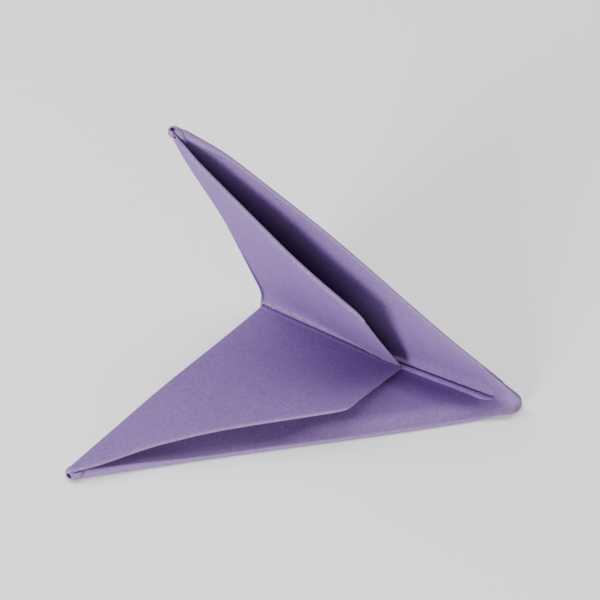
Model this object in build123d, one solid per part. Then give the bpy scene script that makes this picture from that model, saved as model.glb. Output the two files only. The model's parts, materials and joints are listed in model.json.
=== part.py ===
from build123d import *
import math
import os

# Folded paper airplane, in millimetres: one small sheet of construction paper, creased into panels.
# The two front corners are folded in to the centre line, which makes a pointed double-layer body.
# The strip behind the body is folded forward over it as a flap, with its own corners tucked under.
# The whole is then creased along the centre line into two wings that stand open as a V.
# The right wing lies flat, with its outer face on Z = 0, and the nose points along +X.

# Sheet
paper = 0.25              # thickness of the sheet
layer_gap = 0.1           # air between two layers that are creased together
flap_gap = 0.15           # air between a wing and the tucked corner of its flap

# Wings
half_span = 70.0          # centre crease to wing tip
body_length = 66.0        # trailing edge to blunt nose
tip_width = 2.3           # wing tip, from trailing edge to leading edge
nose_half_width = 4.1     # centre crease to leading edge, at the nose
vee_angle = 62.0          # between the wings, as the airplane rests
vee_closed = 24.0         # between the wings, pressed together
vee_open = 120.0          # between the wings, opened for flight

# Flap
flap_depth = 40.0         # trailing edge to the flap's free front edge
corner_lift = 9.4         # slope of the flap over its wing, from the trailing edge to the front corner
crease_lift = 3.9         # the same beside the centre crease

# Clearances between pieces that move against each other
crease_clearance = 0.1    # beside the centre crease of the wings
flap_clearance = 0.4      # beside the centre crease of the flap
hinge_clearance = 0.15    # between the trailing fold and the root of the flap

# Layers, as heights of their undersides over the outer face of the wing
lining_level = paper + layer_gap
tuck_level = lining_level + paper + flap_gap
flap_level = tuck_level + paper + layer_gap
stack_height = flap_level + paper

edge_radius = (2 * paper + layer_gap) / 2         # a fold that joins two neighbouring layers
trailing_radius = stack_height / 2                # the fold that wraps the whole stack
crease_height = lining_level + paper              # axis of the centre crease
flap_corner = half_span - flap_depth              # the corners are tucked in at 45 degrees
flap_run = flap_depth - trailing_radius


def rise(angle, run=flap_run):
    """Height that a slope gains over a run."""
    return run * math.tan(math.radians(angle))


def run_for(height, angle):
    """Distance from the crease at which a height clears the middle plane of a V of this angle."""
    return height / math.tan(math.radians(angle / 2))


def edge_line(start, end, inset):
    """A side seen from above, moved inwards: gives X for a Y and Y for an X on the moved line."""
    length = math.dist(start, end)
    out_x, out_y = (start[1] - end[1]) / length, (end[0] - start[0]) / length
    reach = start[0] * out_x + start[1] * out_y - inset
    return (lambda y: (reach - y * out_y) / out_x), (lambda x: (reach - x * out_x) / out_y)


def sheet(points):
    """A flat panel: its underside's corners, one paper thickness high."""
    return extrude(make_face(Polyline(*points, close=True)), amount=paper, dir=(0, 0, 1))


def folded_edge(start, end):
    """The half-round fold between two layers, along the line midway between them."""
    path = Vector(*end) - Vector(*start)
    along = Vector(path.X, path.Y, 0).normalized()
    section = Circle(edge_radius) - Circle(layer_gap / 2)
    section &= Rectangle(edge_radius, 2 * edge_radius, align=(Align.MIN, Align.CENTER))
    outward = Vector(along.Y, -along.X, 0)
    face = Plane(origin=start, x_dir=outward, z_dir=along) * section
    return extrude(face, amount=path.length, dir=path.normalized())


def trailing_edge():
    """The fold that leads the skin round the back of the stack, up to the root of the flap."""
    section = Circle(trailing_radius) - Circle(trailing_radius - paper)
    section &= Rectangle(trailing_radius, 2 * trailing_radius, align=(Align.MAX, Align.CENTER))
    section -= Rectangle(hinge_clearance, trailing_radius, align=(Align.MAX, Align.MIN))
    back = Plane(origin=(trailing_radius, 0, trailing_radius), x_dir=(1, 0, 0), z_dir=(0, -1, 0))
    return extrude(back * section, amount=half_span, dir=(0, 1, 0))


def wing_zone():
    """Where a wing may have material, so that the V can close and open over its whole travel."""
    above = 2 * stack_height
    foot = -run_for(crease_height, vee_open) + crease_clearance
    head = run_for(above, vee_closed) + crease_clearance
    outline = [
        (foot, 0),
        (crease_clearance, crease_height),
        (head, crease_height + above),
        (half_span, crease_height + above),
        (half_span, 0),
    ]
    corners = [(0, y, z) for y, z in outline]
    return extrude(make_face(Polyline(*corners, close=True)), amount=body_length, dir=(1, 0, 0))


def wing_panels():
    """The left wing, laid flat: skin, folded-in corner of the sheet, and the folds round its edges."""
    tip, nose = (tip_width, half_span), (body_length, nose_half_width)
    edge_x, edge_y = edge_line(tip, nose, edge_radius)
    tip_x, nose_y = edge_x(half_span), edge_y(body_length)
    outline = [
        (trailing_radius, -stack_height),
        (trailing_radius, half_span),
        (tip_x, half_span),
        (body_length, nose_y),
        (body_length, -stack_height),
    ]
    # the fold starts short of the tip, so that its square end stays inside the span
    fold_start_y = half_span - edge_radius
    level = edge_radius
    panels = {
        "wing_skin": sheet([(x, y, 0) for x, y in outline]),
        "wing_lining": sheet([(x, y, lining_level) for x, y in outline]),
        "leading_fold": folded_edge((body_length, nose_y, level), (edge_x(fold_start_y), fold_start_y, level)),
        "trailing_fold": trailing_edge(),
    }
    zone = wing_zone()
    return {name: panel & zone for name, panel in panels.items()}


def flap_panels():
    """The left half of the flap, over the flat wing: its two facets, tucked corner and side fold."""
    corner_rise, crease_rise = rise(corner_lift), rise(crease_lift)
    root_y = run_for(stack_height - crease_height, vee_closed) + flap_clearance
    front_y = run_for(stack_height + crease_rise - crease_height, vee_angle) + flap_clearance

    side_x, side_y = edge_line((tip_width, half_span), (flap_depth, flap_corner), edge_radius)
    tip_x, corner_y = side_x(half_span), side_y(flap_depth)

    def on_slope(x, y, level):
        return (x, y, level + rise(corner_lift, x - trailing_radius))

    root = (trailing_radius, root_y)
    corner = (flap_depth, corner_y)
    tip = [(tip_x, half_span), (trailing_radius, half_span)]
    outer = [on_slope(x, y, flap_level) for x, y in [root, corner, *tip]]
    inner = [outer[0], (flap_depth, front_y, flap_level + crease_rise), outer[1]]
    tuck = [on_slope(x, y, tuck_level) for x, y in [(trailing_radius, flap_corner), corner, *tip]]
    middle = tuck_level + edge_radius
    fold_start_y = half_span - edge_radius
    return {
        "flap_outer": sheet(outer),
        "flap_inner": sheet(inner),
        "flap_tuck": sheet(tuck),
        "flap_side_fold": folded_edge(
            on_slope(flap_depth, corner_y, middle),
            on_slope(side_x(fold_start_y), fold_start_y, middle),
        ),
    }


panels = wing_panels() | flap_panels()
crease = Axis((0, 0, crease_height), (1, 0, 0))
pieces = {}
for name, panel in panels.items():
    pieces["right_" + name] = mirror(panel, about=Plane.XZ).solid()
    pieces["left_" + name] = panel.rotate(crease, 180 - vee_angle).solid()

# The origin is the middle of the bounding box, on the face that the airplane rests on.
box = Compound(list(pieces.values())).bounding_box()
origin = Vector(box.center().X, box.center().Y, box.min.Z)
os.makedirs("parts", exist_ok=True)
for name, piece in pieces.items():
    export_step(piece.moved(Location(-origin)), f"parts/{name}.step")

turned = math.radians(180 - vee_angle)
print("size", box.size)
print("centre crease through", Vector(0, 0, crease_height) - origin, "along -X")
print("right flap hinge through", Vector(trailing_radius, 0, trailing_radius) - origin, "along -Y")
left_hinge = Vector(trailing_radius, 0, trailing_radius - crease_height).rotate(Axis.X, 180 - vee_angle)
print("left flap hinge through", left_hinge + Vector(0, 0, crease_height) - origin)
print("left flap hinge along", Vector(0, -math.cos(turned), -math.sin(turned)))
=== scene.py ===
import json
import math

import bmesh
import bpy
import numpy as np
from mathutils import Matrix, Vector, noise

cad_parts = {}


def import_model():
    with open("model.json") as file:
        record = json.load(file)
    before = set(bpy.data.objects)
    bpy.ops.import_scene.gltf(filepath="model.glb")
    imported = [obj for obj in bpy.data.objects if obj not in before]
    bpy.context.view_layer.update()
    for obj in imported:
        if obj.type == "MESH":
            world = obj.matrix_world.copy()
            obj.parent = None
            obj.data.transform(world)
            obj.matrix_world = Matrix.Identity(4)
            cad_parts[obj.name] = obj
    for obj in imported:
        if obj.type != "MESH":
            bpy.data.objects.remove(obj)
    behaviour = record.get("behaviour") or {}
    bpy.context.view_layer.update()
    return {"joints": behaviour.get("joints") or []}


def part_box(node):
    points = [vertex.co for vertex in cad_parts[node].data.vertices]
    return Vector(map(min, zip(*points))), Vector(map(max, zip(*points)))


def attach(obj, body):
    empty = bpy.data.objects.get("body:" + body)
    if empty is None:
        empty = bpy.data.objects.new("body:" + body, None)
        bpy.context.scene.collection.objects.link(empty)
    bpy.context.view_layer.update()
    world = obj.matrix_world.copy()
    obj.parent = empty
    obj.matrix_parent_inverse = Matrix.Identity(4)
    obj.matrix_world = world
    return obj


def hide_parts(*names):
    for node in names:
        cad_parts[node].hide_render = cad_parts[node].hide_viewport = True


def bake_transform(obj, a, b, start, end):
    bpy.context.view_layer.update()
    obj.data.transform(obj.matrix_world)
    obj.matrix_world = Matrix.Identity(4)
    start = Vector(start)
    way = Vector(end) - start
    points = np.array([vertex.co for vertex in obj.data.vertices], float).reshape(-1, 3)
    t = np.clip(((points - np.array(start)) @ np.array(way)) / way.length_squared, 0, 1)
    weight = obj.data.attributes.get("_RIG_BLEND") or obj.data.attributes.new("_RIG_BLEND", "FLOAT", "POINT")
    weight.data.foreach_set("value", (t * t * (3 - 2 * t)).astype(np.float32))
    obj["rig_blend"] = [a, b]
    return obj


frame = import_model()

# Lengths below are in millimetres, and become metres when a mesh is made.
MM = 0.001

# ---- the frame: where the crease, the hinges and the edges of the sheet lie ----

joints = {joint["name"]: joint for joint in frame["joints"]}
AHEAD = np.array((1.0, 0.0, 0.0))
OUT = {
    "right": np.array(joints["right_flap_fold"]["axis"]),
    "left": -np.array(joints["left_flap_fold"]["axis"]),
}
UP = {"right": -np.cross(AHEAD, OUT["right"]), "left": np.cross(AHEAD, OUT["left"])}
HALF_VEE = math.acos(float(np.dot(OUT["right"], OUT["left"]))) / 2
SIN, COS = math.sin(HALF_VEE), math.cos(HALF_VEE)

skin_low, skin_high = (np.array(corner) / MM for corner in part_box("right_wing_skin"))
fold_low = np.array(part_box("right_trailing_fold")[0]) / MM
flap_high = np.array(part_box("right_flap_outer")[1]) / MM
crease_point = np.array(joints["wing_fold"]["pos_m"]) / MM
TAIL = np.array((fold_low[0], crease_point[1], crease_point[2]))
CREASE_HEIGHT = crease_point[2]
PAPER = skin_high[2] - skin_low[2]
SPAN = crease_point[1] - skin_low[1]
LENGTH = skin_high[0] - TAIL[0]
FLAP_DEPTH = flap_high[0] - TAIL[0]

# ---- the folded sheet, in the looks of the real one ----
# Heights are of the paper's middle over the wing's outer face. The two wings of the real one differ.

SKIN = PAPER / 2                  # the outer layer
LAYER_STEP = 0.35                 # from one pressed layer to the next
LOOSE = 0.22                      # how much more the layers spread at a soft fold
BLEND_REACH = 3.0                 # how far from the centre crease the sheet bends with it
CREASE_RADIUS = 0.6               # of the skin, round the centre crease

TIP_WIDTH = 2.3
TIP_OUT = {"right": 1.0, "left": 0.0}
TIP_CUT = 0.4                     # the sheets end this far inside the rolled tip
TIP_ROLL = {"right": 1.4, "left": 1.0}  # how much thicker the trailing fold is at the tip
TIP_SPREAD = 0.9                  # how much further the lining stands off the skin at the tip
SLIT_ANGLE = math.radians(52)     # where the rolled tips stay open, from straight ahead
SLIT_HALF = math.radians(16)

TAIL_BOW = 2.1                    # how far the left wing's trailing fold bulges out behind
EDGE_BOW = 2.15                   # the same of its leading edge
PILLOW = 1.3                      # how far the right lining arches off its skin in front of the flap

RIDGE_START = 28.0                # where the flap leaves the lap of the linings free
RIDGE_SHIFT = 1.4                 # how far the left lining laps over the right wing
RIDGE_OUT = 1.0                   # the raw edge by the crease stands up as a rounded ridge
RIDGE_WIDTH = 1.3
RIDGE_HEIGHT = 0.7

NOSE_HALF_WIDTH = 4.1
NOSE_LEVEL = 0.49                 # of the pressed layers at the nose
NOSE_START = 57.0
NOSE_PAST = 0.7                   # how far the rounded nose reaches past the skin

ROOT_LEVEL = 1.25                 # of the flap at its root
FLAP_ROOT = (ROOT_LEVEL - SKIN) / 2 + PAPER / 2
STRIP_ROOT = 0.7                  # where the strip under the flap's crease starts to rise
CORNER_AHEAD = {"right": 40.6, "left": 38.8}  # of the flap's front corner, and the next two
CORNER_OUT = {"right": 28.9, "left": 30.3}
CORNER_LIFT = {"right": 6.6, "left": 7.1}
LEG_ARCH = {"right": 2.9, "left": 1.4}  # how far the flap's sloping side arches off the wing
SIDE_LOOSE = {"right": 0.05, "left": 0.30}  # how loose the fold along it is
INSET = 1.7                       # how far the right one lies inside the leading edge
INSET_DROP = 0.76                 # how much less it arches for each millimetre of that
CREASE_RISE = (1.0, 5.8)          # of the flap's own crease over the centre crease, back and front
CREASE_ASIDE = (0.7, -0.73)       # the same, towards the left wing


def smooth(x):
    """From 0 at 0 to 1 at 1, level at both ends."""
    x = np.clip(x, 0, 1)
    return x * x * (3 - 2 * x)


def place(side, u, s, n):
    """Points ahead of the trailing edge, out from the crease and over the wing's outer face."""
    u, s, n = np.broadcast_arrays(u, s, n)
    return TAIL + u[..., None] * AHEAD + s[..., None] * OUT[side] + (n - CREASE_HEIGHT)[..., None] * UP[side]


def middle(u, height, aside):
    """Points over the centre crease: height up the middle of the V, aside towards the left wing."""
    u, height, aside = np.broadcast_arrays(u, height, aside)
    up = (OUT["right"] + OUT["left"]) / 2 / COS
    across = (OUT["left"] - OUT["right"]) / 2 / SIN
    return TAIL + u[..., None] * AHEAD + height[..., None] * up + aside[..., None] * across


def ripple(points, scale, seed):
    """Smooth noise, about -1 to 1, over an array of points."""
    flat = points.reshape(-1, 3) / scale + seed
    values = [noise.noise(Vector(p)) for p in flat]
    return np.array(values).reshape(points.shape[:-1]) * 1.6


# ---- wings ----


def lead(u, side="left"):
    """Distance from the crease to the leading edge, which bends a little on the right wing."""
    line = SPAN + (NOSE_HALF_WIDTH - SPAN) * (u - TIP_WIDTH) / (LENGTH - TIP_WIDTH)
    line = line + TIP_OUT[side] * np.exp(-u / 4)
    tip = SPAN + TIP_OUT[side] - TIP_CUT - 0.15 * (np.clip(u, 0, TIP_WIDTH) - 1.1) ** 2
    sway = -0.45 * np.sin(2 * math.pi * u / LENGTH) if side == "right" else 0.0
    return np.minimum(line + sway, tip)


def roll(side, s):
    """How much thicker the trailing fold gets towards the tip, where the paper is rolled loosely."""
    start, length = (0, 45) if side == "right" else (20, 40)
    return TIP_ROLL[side] * smooth((s - start) / length)


def tail_bow(side, s):
    """How far the trailing fold stands off its straight line: the left wing bulges out behind."""
    if side == "right":
        return 0.0 * s
    bow = TAIL_BOW * (1 - np.exp(-((s / 3.2) ** 2))) * (1 - smooth((s - 30) / 36))
    return -bow - 0.5 * roll(side, s)


def edge_bow(side, s):
    """The same along the leading edge."""
    if side == "right":
        return 0.0 * s
    return -EDGE_BOW * smooth((s - 12) / 36) * (1 - 0.65 * smooth((s - 61) / 10))


def wing_face(side, u, s):
    """Height of the wing's outer face over its flat plane: the paper's bow and its slight waves."""
    reach = TIP_WIDTH + np.clip(SPAN - s, 0, SPAN) * (LENGTH - TIP_WIDTH) / (SPAN - NOSE_HALF_WIDTH)
    flat = np.stack(np.broadcast_arrays(u, s, 0 * u), axis=-1)
    inside = smooth(s / 12) * smooth((reach - u) / 8) * smooth(u / 6)
    waves = ripple(flat, 17.0, 3.0 if side == "left" else 9.0) * inside
    if side == "right":
        return 0.08 * np.abs(waves)
    behind = 1 - smooth(u / np.minimum(30, reach))
    return tail_bow(side, s) * behind + edge_bow(side, s) * smooth(u / reach) + 0.12 * waves


def overlap(u):
    """How far the left lining's edge laps over the right wing, in front of the flap."""
    return RIDGE_SHIFT * smooth((u - RIDGE_START) / 8) * (1 - 0.5 * smooth((u - 58) / 6))


def lining_lift(side, u, s):
    """How far the lining stands over the skin."""
    inside = np.maximum(lead(u, side) - s, 0)
    if side == "left":
        gap = LAYER_STEP + LOOSE * np.exp(-inside / 3.0) + TIP_SPREAD * smooth((s - 59) / 10)
        return gap + overlap(u) * np.exp(-((s / 2.6) ** 2))
    gap = LAYER_STEP + 2 * LOOSE * np.exp(-inside / 9.0) * smooth((s - 2) / 6)
    gap = gap + TIP_SPREAD * smooth((s - 50) / 19)
    arch = smooth((s - 2.4) / 10) * smooth(inside / 7)
    gap = gap + PILLOW * arch * smooth((u - RIDGE_START) / 10) * smooth((63 - u) / 9)
    return gap + ridge(u, s)


def ridge(u, s):
    """The rounded ridge that the lap makes along the crease, wider towards the nose."""
    wide = RIDGE_WIDTH + 0.7 * smooth((u - 52) / 9)
    crest = np.sqrt(np.maximum(1 - ((s - overlap(u) - RIDGE_OUT) / wide * 2) ** 2, 0)) ** 0.8
    waver = 1 + 0.06 * np.sin(u * 1.9) + 0.04 * np.sin(u * 4.3)
    return RIDGE_HEIGHT * crest * waver * smooth((u - RIDGE_START - 2) / 6)


def wing_path(side, u):
    """One wing cut across the crease: crease, skin, leading fold, lining and its raw edge."""
    start = (SKIN + CREASE_RADIUS - CREASE_HEIGHT) / math.tan(HALF_VEE)
    angles = np.linspace(math.pi / 2 - HALF_VEE, 0, 7)
    s_arc = start - CREASE_RADIUS * np.sin(angles)
    n_arc = SKIN + CREASE_RADIUS * (1 - np.cos(angles))
    outline = float(lead(u, side))
    radius = float(lining_lift(side, np.float64(u), np.float64(outline))) / 2
    reach = radius * math.sqrt(2)
    edge = outline - PAPER / 2 - reach - 0.35 * float(smooth((u - 59.5) / 2.5))
    out = 1 - (1 - np.linspace(0, 1, 56)[1:]) ** 1.25
    s_skin = start + out * (edge - start)
    n_skin = SKIN + wing_face(side, np.full_like(s_skin, u), s_skin)
    bend = np.linspace(0, math.pi, 11)[1:-1]
    s_bend = edge + reach * np.sin(bend)
    n_bend = n_skin[-1] + radius * (1 - np.cos(bend))
    raw = 0.32 + (float(overlap(u)) * 0.9 if side == "right" else 0.0)
    near = 4.6                    # from here to its raw edge the lining has more points
    s_back = np.concatenate([near + np.linspace(1, 0, 46)[:-1] * (edge - near), np.linspace(near, raw, 34)])
    full_u = np.full_like(s_back, u)
    n_back = SKIN + wing_face(side, full_u, s_back) + lining_lift(side, full_u, s_back)
    s = np.concatenate([s_arc, s_skin, s_bend, s_back])
    n = np.concatenate([n_arc, n_skin, n_bend, n_back])
    return place(side, u - tail_slant(side, s) * (1 - smooth(u / 8)), s, n)


def wing_rows():
    """Stations along the crease, closer together near the tail and the nose."""
    near_tail, between = np.linspace(0.7, 4, 12), np.linspace(4, 56, 70)[1:]
    near_nose = np.linspace(56, 62.6, 18)[1:]
    return np.concatenate([near_tail, between, near_nose])


# How much paler the paper is over the nose.
def nose_paling(u):
    return 0.45 * smooth((u - 56) / 7)


def wing_wear_and_highlight(u, s):
    """How pale the paper is: most along the leading fold, where it is partly rubbed and partly a painted
    highlight, paler on the nose, and 0 well inside.
    """
    inside = (lead(u) - s) / math.sqrt(2)
    return np.maximum(0.55 * np.exp(-np.maximum(inside, 0) / 2.6), nose_paling(u))


# ---- meshes ----


def add_verts(bm, grid, marks):
    """New vertices for a grid of points, each with its paleness: rubbed wear and a painted highlight."""
    worn_and_highlit = bm.verts.layers.float["wear_and_highlight"]
    verts = [[bm.verts.new(point * MM) for point in row] for row in grid]
    for row, values in zip(verts, marks):
        for vert, value in zip(row, values):
            vert[worn_and_highlit] = float(value)
    return verts


def add_faces(bm, verts, closed=False):
    """Four-sided faces between neighbouring rows, and from each row's end to its start if closed."""
    count = len(verts[0])
    for near, far in zip(verts, verts[1:]):
        for j in range(count if closed else count - 1):
            k = (j + 1) % count
            bm.faces.new((near[j], far[j], far[k], near[k]))


def thick_sheet(name, grids, wear_and_highlight):
    """Joins grids of middle points where they meet, and gives them the paper's thickness."""
    bm = bmesh.new()
    bm.verts.layers.float.new("wear_and_highlight")
    for grid, marks in zip(grids, wear_and_highlight):
        add_faces(bm, add_verts(bm, grid, marks))
    bmesh.ops.remove_doubles(bm, verts=bm.verts, dist=1e-6)
    bmesh.ops.recalc_face_normals(bm, faces=bm.faces)
    raw = bpy.data.meshes.new(name + "_middle")
    bm.to_mesh(raw)
    bm.free()
    return solid(name, raw)


def solid(name, raw):
    """The raw surface as an object of the paper's thickness, with its modifier applied."""
    obj = bpy.data.objects.new(name, raw)
    bpy.context.scene.collection.objects.link(obj)
    shell = obj.modifiers.new("paper", "SOLIDIFY")
    shell.thickness = PAPER * MM
    shell.offset = 0
    shell.use_even_offset = False
    evaluated = obj.evaluated_get(bpy.context.evaluated_depsgraph_get())
    mesh = bpy.data.meshes.new_from_object(evaluated)
    mesh.name = name
    obj.modifiers.clear()
    obj.data = mesh
    finish_mesh(obj)
    return obj


def finish_mesh(obj):
    """Smooth faces with sharp edges where the paper turns, and the paper's material."""
    for polygon in obj.data.polygons:
        polygon.use_smooth = True
    obj.data.set_sharp_from_angle(angle=math.radians(50))
    obj.data.materials.append(paper_material())


def wings():
    """Both wings as the one sheet they are, from raw edge to raw edge, bending at the crease."""
    rows, marks = [], []
    for u in wing_rows():
        halves = {"right": wing_path("right", u)[::-1], "left": wing_path("left", u)[1:]}
        rows.append(np.concatenate(list(halves.values())))
        worn_and_highlit = [wing_wear_and_highlight(u, (half - TAIL) @ OUT[side]) for side, half in halves.items()]
        marks.append(np.concatenate(worn_and_highlit))
    obj = thick_sheet("wing_sheet", [rows], [marks])
    bend_with_wings(obj)
    for side in ("right", "left"):
        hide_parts(f"{side}_wing_skin", f"{side}_wing_lining", f"{side}_leading_fold")
    return obj


# ---- nose ----


def rounding(past, radius):
    """1 well inside an end, falling to 0 at it in a quarter circle over the last radius."""
    return math.sqrt(max(1 - max((past + radius) / radius, 0) ** 2, 0.0))


def nose_ring(u):
    """One closed cut across the nose: over the inside of the V and back along its outside."""
    past = u - (LENGTH + NOSE_PAST)
    end = max(rounding(past, 1.3), 0.05)
    swell = smooth((u - NOSE_START) / 3.2)
    thick = (0.12 + 0.38 * swell) * end / SIN
    reach = (lead(u) + 0.22 * swell - 0.1 - 1.5 * (1 - rounding(past, 1.5))) * SIN
    fill = 0.25 + 1.5 * smooth((u - 58.5) / 6)
    half_circle = np.linspace(-math.pi / 2, math.pi / 2, 37)
    share = np.sin(np.sin(half_circle) * math.pi / 2)
    aside = share * reach
    blunt = np.sqrt(np.maximum(1 - np.abs(share) ** 20, 0))
    drop = (CREASE_HEIGHT - NOSE_LEVEL) / SIN
    top = np.sqrt(aside**2 + fill**2) / math.tan(HALF_VEE) - drop + thick * blunt
    bottom = np.sqrt(aside**2 + 0.35**2) / math.tan(HALF_VEE) - drop - thick * blunt
    centre = (top + bottom) / 2
    top, bottom = centre + (top - centre) * end, centre + (bottom - centre) * end
    crumpled = top + 0.06 * swell * ripple(middle(u, top, aside), 1.6, 4.0)
    return np.concatenate([middle(u, crumpled, aside), middle(u, bottom, aside)[-2:0:-1]])


def nose():
    """The blunt nose, where the four layers are pressed into one rounded end."""
    full = LENGTH + NOSE_PAST - NOSE_START
    stations = NOSE_START + full * np.sin(np.linspace(0, math.pi / 2, 40))
    rings = [nose_ring(u) for u in stations]
    marks = [np.full(len(rings[0]), nose_paling(u)) for u in stations]
    bm = bmesh.new()
    bm.verts.layers.float.new("wear_and_highlight")
    verts = add_verts(bm, rings, marks)
    add_faces(bm, verts, closed=True)
    bm.faces.new(verts[0])
    bm.faces.new(verts[-1])
    bmesh.ops.recalc_face_normals(bm, faces=bm.faces)
    mesh = bpy.data.meshes.new("nose_fold")
    bm.to_mesh(mesh)
    bm.free()
    obj = bpy.data.objects.new("nose_fold", mesh)
    bpy.context.scene.collection.objects.link(obj)
    finish_mesh(obj)
    bend_with_wings(obj)
    return obj


# ---- flap ----


def crease_line(a):
    """Height and sideways place of the flap's own crease over the centre crease."""
    share = np.clip(a / (FLAP_DEPTH - 0.5), 0, 1)
    return tuple(back + (front - back) * share for back, front in (CREASE_RISE, CREASE_ASIDE))


def crease_place(side, a):
    """The flap's crease as seen from one wing: distance out and height over its outer face."""
    height, aside = crease_line(a)
    sign = 1 if side == "right" else -1
    return height * COS - sign * aside * SIN, CREASE_HEIGHT + height * SIN + sign * aside * COS


def front_edge(side, s):
    """How far ahead the flap reaches: its front edge and its sloping side, round at the corner."""
    front = FLAP_DEPTH + (CORNER_AHEAD[side] - FLAP_DEPTH) * s / CORNER_OUT[side]
    slope = (TIP_WIDTH - CORNER_AHEAD[side]) / (SPAN - CORNER_OUT[side])
    leg = CORNER_AHEAD[side] + slope * (s - CORNER_OUT[side])
    if side == "right":
        leg = leg - math.sqrt(2) * inset(s)
    soft = 0.45
    edge = -soft * np.logaddexp(-front / soft, -leg / soft)
    if side == "left":
        edge = edge + 0.4 * np.exp(-(((s - CORNER_OUT[side] - 0.5) / 0.9) ** 2))
    return edge - 1.2 * np.exp(-s / 1.1) * (1 if side == "right" else 0.3)


def flap_face(side, a, s, root=FLAP_ROOT):
    """Height of the flap's middle over the wing's outer face: it lifts off towards its front corner."""
    s_crease, n_crease = crease_place(side, a)
    slope = CORNER_LIFT[side] / (CORNER_AHEAD[side] - root)
    n_corner = ROOT_LEVEL + slope * np.maximum(a - root, 0)
    soft = 0.13
    share = 1 - soft * np.logaddexp(0, (1 - (s - s_crease) / (CORNER_OUT[side] - s_crease)) / soft)
    if side == "right":
        share = 1 - np.maximum(1 - share, 0) ** (1.28 - 0.23 * smooth(a / FLAP_DEPTH))
    n = n_crease + (n_corner - n_crease) * share
    ahead = np.clip((a - root) / np.maximum(front_edge(side, s) - root, 0.5), 0, 1)
    rooted = (tail_bow(side, s) + 0.5 * roll(side, s)) * (1 - smooth(ahead)) if side == "left" else 0.0
    swell = roll(side, s) * (1 - ahead) * (side == "right") + bulge(side, s) * ahead
    return n + rooted + swell + crumple(side, a, s - s_crease)


def right_arch(s):
    """Where the right flap's sloping side stands off the wing most: 1 there, 0 at its corner."""
    return smooth((s - 27) / 25) * (1 - 0.5 * smooth((s - 55) / 14))


def inset(s):
    """How far the right flap's sloping side lies inside the leading edge."""
    return INSET * right_arch(s) * (1 - smooth((s - 60) / 9))


def bulge(side, s):
    """How far the flap's sloping side arches off the wing: less where the right one is inset."""
    if side == "right":
        return LEG_ARCH[side] * right_arch(s) - INSET_DROP * inset(s)
    return LEG_ARCH[side] * smooth((s - 26) / 22) * (1 - 0.25 * smooth((s - 64) / 5))


def crumple(side, a, away):
    """The scuffed, wrinkled paper beside the flap's crease."""
    if side == "right":
        return 0.10 * np.exp(-(((away - 0.8) / 0.5) ** 2))
    wrinkle = 1 + 0.5 * np.sin(a * 2.9) * np.sin(a * 1.1 + 1) + 0.4 * np.sin(a * 5.3) * np.sin(a * 0.7)
    strength = 0.46 - 0.26 * smooth((a - 8) / 16)
    bump = strength * wrinkle * np.exp(-(((away - 0.62 - 0.12 * np.sin(a * 1.6)) / 0.27) ** 2))
    return bump * smooth((FLAP_DEPTH - a) / 4)


def tail_slant(side, s):
    """How far the trailing fold lies behind the straight line: the right one slants back to its tip."""
    if side == "right":
        return 0.5 * smooth((s + 3) / 44)
    return 0.3 * smooth(1 - s / 4)


def flap_span(side, inner, share, outer):
    """Distance out from the crease, at a share of the way over the flap's inner or outer part."""
    corner = CORNER_OUT[side]
    start, end = (corner, SPAN + TIP_OUT[side] - TIP_CUT) if outer else (inner, corner)
    return start + (end - start) * share


def back_path(side, share, outer):
    """The trailing fold at one place along it, from the skin round the back up to the flap."""
    radius = (ROOT_LEVEL - SKIN) / 2
    points = []
    for angle in np.linspace(0, math.pi, 13)[:-1]:
        turned = angle / math.pi
        inner = crease_place(side, 0.0)[0] * turned + 0.35 * (1 - turned)
        s = flap_span(side, inner, share, outer)
        turn = radius + float(roll(side, s)) / 2
        lift = 0.5 * float(roll(side, s)) * turned if side == "left" else 0.0
        n = SKIN + (turn - lift / 2) * (1 - math.cos(angle)) + float(tail_bow(side, s))
        a = FLAP_ROOT + (turn - radius - turn * math.sin(angle)) * smooth(angle)
        points.append((a - tail_slant(side, s), s, n))
    return points


def inner_path(side, share):
    """The flap's inner part, cut ahead from the trailing fold to its raw front edge."""
    s = flap_span(side, crease_place(side, FLAP_DEPTH * 0.9)[0], share, False)
    start, front = FLAP_ROOT - tail_slant(side, s), float(front_edge(side, s)) - PAPER / 2
    points = back_path(side, share, False)
    for a in start + (front - start) * np.linspace(0, 1, 100):
        s = flap_span(side, crease_place(side, a)[0], share, False)
        points.append((a, s, float(flap_face(side, a, s))))
    return place(side, *np.array(points).T)


def outer_path(side, share):
    """The flap's outer part, cut ahead to its sloping side, round the fold and back underneath."""
    s = flap_span(side, 0, share, True)
    grown = float(smooth((s - CORNER_OUT[side]) / 2.5))
    curl = (LAYER_STEP + SIDE_LOOSE[side]) / 2 * (0.3 + 0.7 * grown)
    reach = curl * math.sqrt(2) * (0.1 + 0.9 * grown)
    edge = max(float(front_edge(side, s)) - PAPER / 2 - reach * grown, FLAP_ROOT + 0.05)
    start = FLAP_ROOT - tail_slant(side, s)
    points = back_path(side, share, True)
    for a in start + (edge - start) * np.linspace(0, 1, 100):
        points.append((a, s, float(flap_face(side, a, s))))
    top = points[-1][2]
    for angle in np.linspace(0, math.pi, 9)[1:-1]:
        points.append((edge + reach * math.sin(angle), s, top - curl * (1 - math.cos(angle))))
    for a in edge + (FLAP_ROOT - edge) * np.linspace(0, 1, 24):
        points.append((a, s, float(flap_face(side, a, s)) - 2 * curl))
    return place(side, *np.array(points).T)


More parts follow.
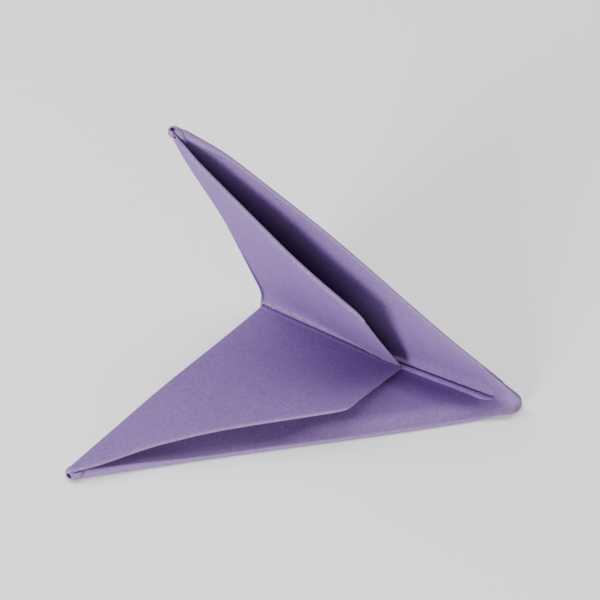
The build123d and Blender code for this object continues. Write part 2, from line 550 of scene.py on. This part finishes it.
def flap(side):
    """Half of the flap with its trailing fold, blended from the wing to the flap's body."""
    by_crease = 0.11              # this share of the inner part has closer points
    shares = np.concatenate([np.linspace(0, by_crease, 18), np.linspace(by_crease, 1, 26)[1:]])
    inner = np.array([inner_path(side, share) for share in shares])
    outer = np.array([outer_path(side, share) for share in 1 - (1 - np.linspace(0, 1, 54)) ** 1.3])
    marks = [flap_wear_and_highlight(side, grid) for grid in (inner, outer)]
    obj = thick_sheet(f"{side}_flap_sheet", [inner, outer], marks)
    back, ahead = place(side, np.array((0.0, 2.5)), np.zeros(2), np.array((0.0, 1.8)))
    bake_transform(obj, f"{side}_wing", f"{side}_flap", start=back * MM, end=ahead * MM)
    names = ("trailing_fold", "flap_outer", "flap_inner", "flap_tuck", "flap_side_fold")
    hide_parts(*(f"{side}_{name}" for name in names))
    return obj


def flap_wear_and_highlight(side, grid):
    """Pale paper on the flap: along its free edges and its back fold, partly rubbed and partly a painted
    highlight, and rubbed beside its crease.
    """
    u, s = (grid - TAIL) @ AHEAD, (grid - TAIL) @ OUT[side]
    # A pale band along the free edges and the back fold: partly rubbed paper, partly a painted highlight.
    to_front = np.abs(front_edge(side, s) - u) / 1.3
    edges = np.minimum(to_front, np.abs(u + 0.6))
    away = s - crease_place(side, u)[0]
    scuff = np.exp(-(((away - 0.64) / 0.34) ** 2)) * (1.0 if side == "left" else 0.2)
    return np.maximum(0.6 * np.exp(-edges / 0.7), scuff * (1 - 0.45 * smooth((u - 10) / 14)))


def crease_strip():
    """The bottom of the flap's crease, a narrow V that bends with the wings."""
    rows, marks = [], []
    for a in np.linspace(1.2, FLAP_DEPTH - 3.6, 40):
        row, wide = [], 3.2 - 2.2 * smooth((a - 18) / 18)
        for side, reach in (("right", np.linspace(wide, 0, 9)), ("left", np.linspace(0, wide, 9)[1:])):
            s = crease_place(side, a)[0] + reach
            under = 0.30 + 0.05 * reach
            row.append(place(side, a, s, flap_face(side, a, s, STRIP_ROOT) - under))
        rows.append(np.concatenate(row))
        marks.append(np.full(len(rows[-1]), 0.3))
    obj = thick_sheet("flap_crease", [rows], [marks])
    bend_with_wings(obj)
    return obj


def bend_with_wings(obj):
    """Lets a piece bend at the centre crease, from one wing to the other."""
    edges = [TAIL + OUT[side] * BLEND_REACH - CREASE_HEIGHT * UP[side] for side in ("right", "left")]
    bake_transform(obj, "right_wing", "left_wing", start=edges[0] * MM, end=edges[1] * MM)


# ---- tips ----


def tip(side):
    """The rolled end of a wing, where its folded edges meet, with a slit that runs into the pocket."""
    span = SPAN + TIP_OUT[side]
    start, shoulder, end = span - 2.8, span - 0.8, span + 0.25
    around = np.linspace(SLIT_ANGLE + SLIT_HALF, SLIT_ANGLE + 2 * math.pi - SLIT_HALF, 45)
    rows, marks = [], []
    for s in np.concatenate([np.linspace(start, shoulder, 10), np.linspace(shoulder, end, 14)[1:]]):
        share = float(smooth((s - start) / 2.0))
        width = TIP_WIDTH + 0.4 + 0.6 * max(span - s, 0)
        close = 0.36 + 0.64 * math.sqrt(max(1 - max((s - span + 0.95) / 1.22, 0) ** 2, 0.0))
        top = ROOT_LEVEL + float(roll(side, s)) + 0.2
        shrink = 0.5 * (0.6 + 0.4 * share) * close
        a = 0.5 * width - float(tail_slant(side, s)) - 0.12 + shrink * width * np.cos(around)
        n = 0.5 * top + shrink * (top - PAPER) * np.sin(around) + float(tail_bow(side, min(s, span)))
        rows.append(place(side, a, s, n))
        marks.append(np.full(len(around), 0.5 * share))
    obj = thick_sheet(f"{side}_tip_roll", [rows], [marks])
    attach(obj, f"{side}_wing")
    return obj


# ---- material ----


def noise_value(tree, vector, scale, detail, roughness=0.55):
    node = tree.nodes.new("ShaderNodeTexNoise")
    node.inputs["Scale"].default_value = scale
    node.inputs["Detail"].default_value = detail
    node.inputs["Roughness"].default_value = roughness
    tree.links.new(vector, node.inputs["Vector"])
    return node.outputs["Fac"]


def stretched(tree, value, low, high):
    node = tree.nodes.new("ShaderNodeMapRange")
    node.inputs["From Min"].default_value = low
    node.inputs["From Max"].default_value = high
    tree.links.new(value, node.inputs["Value"])
    return node.outputs["Result"]


def mixed(tree, factor, first, second):
    """A mix of two colours, each a constant or another node's output."""
    node = tree.nodes.new("ShaderNodeMix")
    node.data_type = "RGBA"
    for socket, value in ((node.inputs[0], factor), (node.inputs[6], first), (node.inputs[7], second)):
        if isinstance(value, tuple):
            socket.default_value = value
        else:
            tree.links.new(value, socket)
    return node.outputs[2]


def paper_material():
    """Matt purple paper: mottled fibres, cloudy patches, pale edges and folds that are partly rubbed and
    partly a painted highlight, and a few light specks.
    """
    name = "purple_paper"
    if name in bpy.data.materials:
        return bpy.data.materials[name]
    deep, light = (0.150, 0.079, 0.262, 1), (0.235, 0.142, 0.365, 1)
    # The pale colour of the edges and folds: partly rubbed paper, partly a painted highlight.
    cloudy, rubbed_and_highlit = (0.205, 0.128, 0.315, 1), (0.272, 0.209, 0.312, 1)
    speck = (0.32, 0.24, 0.40, 1)
    material = bpy.data.materials.new(name)
    material.use_nodes = True
    tree = material.node_tree
    shader = tree.nodes["Principled BSDF"]
    shader.inputs["Roughness"].default_value = 0.78
    shader.inputs["Specular IOR Level"].default_value = 0.15
    vector = tree.nodes.new("ShaderNodeTexCoord").outputs["Object"]

    fibres = stretched(tree, noise_value(tree, vector, 1400, 5, 0.75), 0.3, 0.7)
    clouds = stretched(tree, noise_value(tree, vector, 160, 3, 0.6), 0.5, 0.95)
    specks = stretched(tree, noise_value(tree, vector, 1500, 2), 0.68, 0.8)
    wear_and_highlight = tree.nodes.new("ShaderNodeAttribute")
    wear_and_highlight.attribute_name = "wear_and_highlight"
    patchy = tree.nodes.new("ShaderNodeMath")
    patchy.operation = "MULTIPLY"
    tree.links.new(wear_and_highlight.outputs["Fac"], patchy.inputs[0])
    tree.links.new(stretched(tree, noise_value(tree, vector, 1100, 5, 0.7), 0.25, 0.65), patchy.inputs[1])

    colour = mixed(tree, fibres, deep, light)
    colour = mixed(tree, clouds, colour, cloudy)
    # Pale edges and folds: partly rubbed paper, partly a painted highlight.
    colour = mixed(tree, patchy.outputs[0], colour, rubbed_and_highlit)
    colour = mixed(tree, specks, colour, speck)
    tree.links.new(colour, shader.inputs["Base Color"])
    bump = tree.nodes.new("ShaderNodeBump")
    bump.inputs["Strength"].default_value = 0.5
    bump.inputs["Distance"].default_value = 0.0001
    tree.links.new(noise_value(tree, vector, 2600, 4, 0.7), bump.inputs["Height"])
    tree.links.new(bump.outputs["Normal"], shader.inputs["Normal"])
    return material


# ---- floor, light and camera ----


def floor():
    """A plain pale table, wide enough to fill every view."""
    bpy.ops.mesh.primitive_plane_add(size=8, location=(0, 0, 0))
    obj = bpy.context.object
    obj.name = "floor"
    material = bpy.data.materials.new("floor")
    material.use_nodes = True
    shader = material.node_tree.nodes["Principled BSDF"]
    shader.inputs["Base Color"].default_value = (0.96, 0.96, 0.96, 1)
    shader.inputs["Roughness"].default_value = 0.9
    obj.data.materials.append(material)


def toward(azimuth, elevation):
    """The direction to a lamp or the camera, in degrees: azimuth 0 is beside the right wing, 90 ahead."""
    a, e = math.radians(azimuth), math.radians(elevation)
    return Vector((math.sin(a) * math.cos(e), -math.cos(a) * math.cos(e), math.sin(e)))


def area_light(name, azimuth, elevation, distance, size, power):
    """A soft square lamp that shines on the object."""
    lamp = bpy.data.lights.new(name, "AREA")
    lamp.size = size
    lamp.energy = power
    obj = bpy.data.objects.new(name, lamp)
    obj.location = toward(azimuth, elevation) * distance
    obj.rotation_euler = (-obj.location).to_track_quat("-Z", "Y").to_euler()
    bpy.context.scene.collection.objects.link(obj)


def world(strength):
    background = bpy.data.worlds.new("studio")
    background.use_nodes = True
    node = background.node_tree.nodes["Background"]
    node.inputs["Color"].default_value = (1, 1, 1, 1)
    node.inputs["Strength"].default_value = strength
    bpy.context.scene.world = background


def camera():
    """A long lens in front of the nose, above the right wing."""
    aim, distance = Vector((-0.01005, 0.0142, 0.0231)), 0.333
    back, tilt = toward(31.88, 34.65), math.radians(0.71)
    rotation = back.to_track_quat("Z", "Y").to_matrix().to_4x4() @ Matrix.Rotation(tilt, 4, "Z")
    lens = bpy.data.cameras.new("camera")
    lens.lens = 96
    lens.sensor_width = 36
    obj = bpy.data.objects.new("camera", lens)
    obj.matrix_world = Matrix.Translation(aim + back * distance) @ rotation
    bpy.context.scene.collection.objects.link(obj)
    bpy.context.scene.camera = obj


wings()
nose()
flap("right")
flap("left")
crease_strip()
tip("right")
tip("left")
floor()
world(0.29)
area_light("key", 2, 15, 0.9, 0.3, 12)
area_light("side", -90, 48, 1.2, 0.7, 9)
area_light("top", 180, 82, 1.2, 1.0, 10)
area_light("fill", 45, 10, 1.2, 0.6, 3)
camera()
